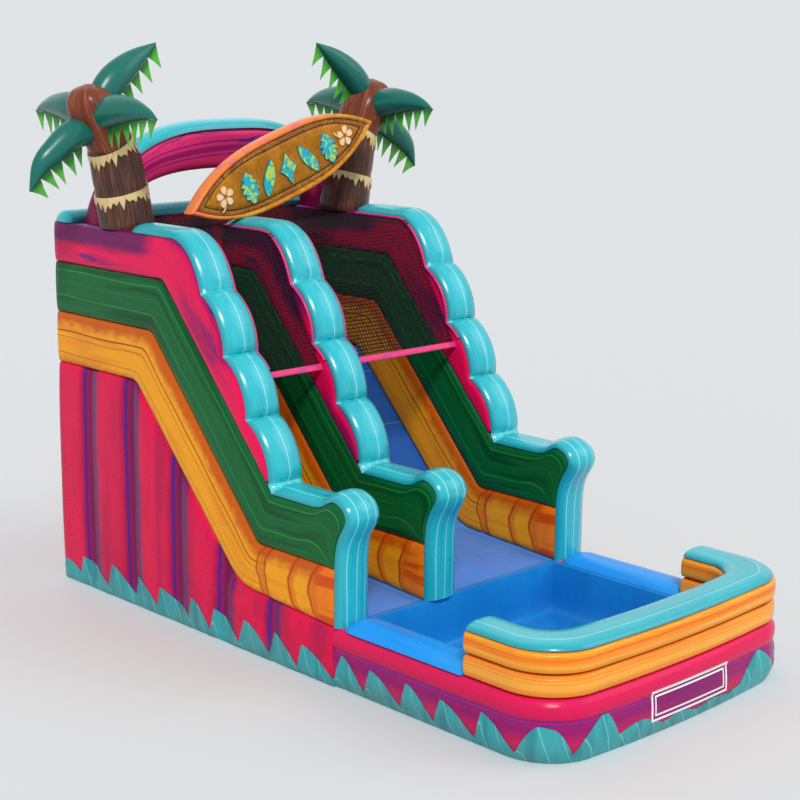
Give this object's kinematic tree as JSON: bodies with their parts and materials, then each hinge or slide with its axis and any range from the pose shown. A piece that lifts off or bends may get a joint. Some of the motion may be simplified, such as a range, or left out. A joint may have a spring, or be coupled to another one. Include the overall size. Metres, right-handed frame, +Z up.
{
  "type": "inflatable water slide",
  "caption": "Inflatable water slide with a climbing lane beside a netted slide lane, a bumpered splash pool, palm trees and a surfboard sign.",
  "frame": {"origin": "middle of the bounding box on the ground", "axes": "+Z up, -Y towards the splash pool at the front, +X to the right of someone who looks at the front"},
  "size_m": [4.822, 6.895, 5.2983],
  "materials": {
    "pink_vinyl": "glossy printed tarpaulin, hot pink with purple marbling",
    "orange_vinyl": "glossy printed tarpaulin, golden orange with darker streaks",
    "green_vinyl": "glossy printed tarpaulin, dark green with fine bright lines",
    "teal_vinyl": "glossy printed tarpaulin, teal with pale lines",
    "deck_vinyl": "semi-gloss tarpaulin, periwinkle blue",
    "pool_vinyl": "glossy tarpaulin, deep blue",
    "coping_vinyl": "glossy tarpaulin, bright blue",
    "bark_print": "semi-gloss tarpaulin printed as bark, with cream rings",
    "crown_print": "semi-gloss tarpaulin printed as wood",
    "leaf_vinyl": "glossy tarpaulin, sea green, with a bright green fringe",
    "board_print": "semi-gloss tarpaulin printed as golden wood",
    "net_cord": "matt black knotless netting with a pink hem",
    "webbing": "matt black woven webbing",
    "sleeve_cloth": "coated nylon cloth, dark grey",
    "zip_tape": "woven zip tape",
    "steel": "plated steel"
  },
  "bodies": {
    "slide": {"left_flank": "pink_vinyl", "right_flank": "pink_vinyl", "rear_flank": "pink_vinyl", "rear_wall": "pink_vinyl", "centre_web": "deck_vinyl", "platform_deck": "deck_vinyl", "slide_bed": "deck_vinyl", "climb_bed": "deck_vinyl", "slide_baffle_upper": "deck_vinyl", "slide_baffle_lower": "deck_vinyl", "climb_baffle": "deck_vinyl", "left_wall_orange": "orange_vinyl", "left_wall_green": "green_vinyl", "left_wall_pink": "pink_vinyl", "left_wall_cap": "teal_vinyl", "middle_wall_orange": "orange_vinyl", "middle_wall_green": "green_vinyl", "middle_wall_pink": "pink_vinyl", "middle_wall_cap": "teal_vinyl", "right_wall_orange": "orange_vinyl", "right_wall_green": "green_vinyl", "right_wall_pink": "pink_vinyl", "right_wall_cap": "teal_vinyl", "pool_wall": "pink_vinyl", "pool_liner": "pool_vinyl", "coping_left": "coping_vinyl", "coping_right": "coping_vinyl", "bumper_lower": "orange_vinyl", "bumper_upper": "orange_vinyl", "bumper_cap": "teal_vinyl", "rear_top_tube": "teal_vinyl", "arch": "pink_vinyl", "arch_cap": "teal_vinyl", "trunk_left": "bark_print", "trunk_right": "bark_print", "crown_left": "crown_print", "crown_right": "crown_print", "frond_left_outer": "leaf_vinyl", "frond_left_inner": "leaf_vinyl", "frond_left_front": "leaf_vinyl", "frond_left_back": "leaf_vinyl", "frond_right_outer": "leaf_vinyl", "frond_right_inner": "leaf_vinyl", "frond_right_front": "leaf_vinyl", "frond_right_back": "leaf_vinyl", "sign_board": "board_print", "sign_rim": "orange_vinyl", "roof_net": "net_cord", "climb_net": "net_cord", "slide_net": "net_cord", "air_sleeve": "sleeve_cloth", "zip_tape": "zip_tape", "tab_rear_left": "webbing", "tab_rear_right": "webbing", "tab_right_side": "webbing"},
    "zip_flap": {"zip_flap": "pink_vinyl"},
    "zip_slider": {"zip_slider": "steel"},
    "ring_rear_left": {"ring_rear_left": "steel"},
    "ring_rear_right": {"ring_rear_right": "steel"},
    "ring_right_side": {"ring_right_side": "steel"}
  },
  "joints": [
    {"name": "ring_rear_left_swing", "type": "hinge", "parent": "slide", "child": "ring_rear_left", "pos_m": [-1.39, 3.1038, 0.2], "axis": [1, 0, 0], "range_deg": [0, 150]},
    {"name": "ring_rear_right_swing", "type": "hinge", "parent": "slide", "child": "ring_rear_right", "pos_m": [1.39, 3.1038, 0.2], "axis": [1, 0, 0], "range_deg": [0, 150]},
    {"name": "ring_right_side_swing", "type": "hinge", "parent": "slide", "child": "ring_right_side", "pos_m": [1.5963, -0.1025, 0.2], "axis": [0, -1, 0], "range_deg": [0, 150]},
    {"name": "zip_flap_lift", "type": "hinge", "parent": "slide", "child": "zip_flap", "pos_m": [-0.55, 3.1098, 0.475], "axis": [1, 0, 0], "range_deg": [0, 150]},
    {"name": "zip_slider_run", "type": "slide", "parent": "slide", "child": "zip_slider", "axis": [1, 0, 0], "range_m": [0, 0.49]}
  ]
}
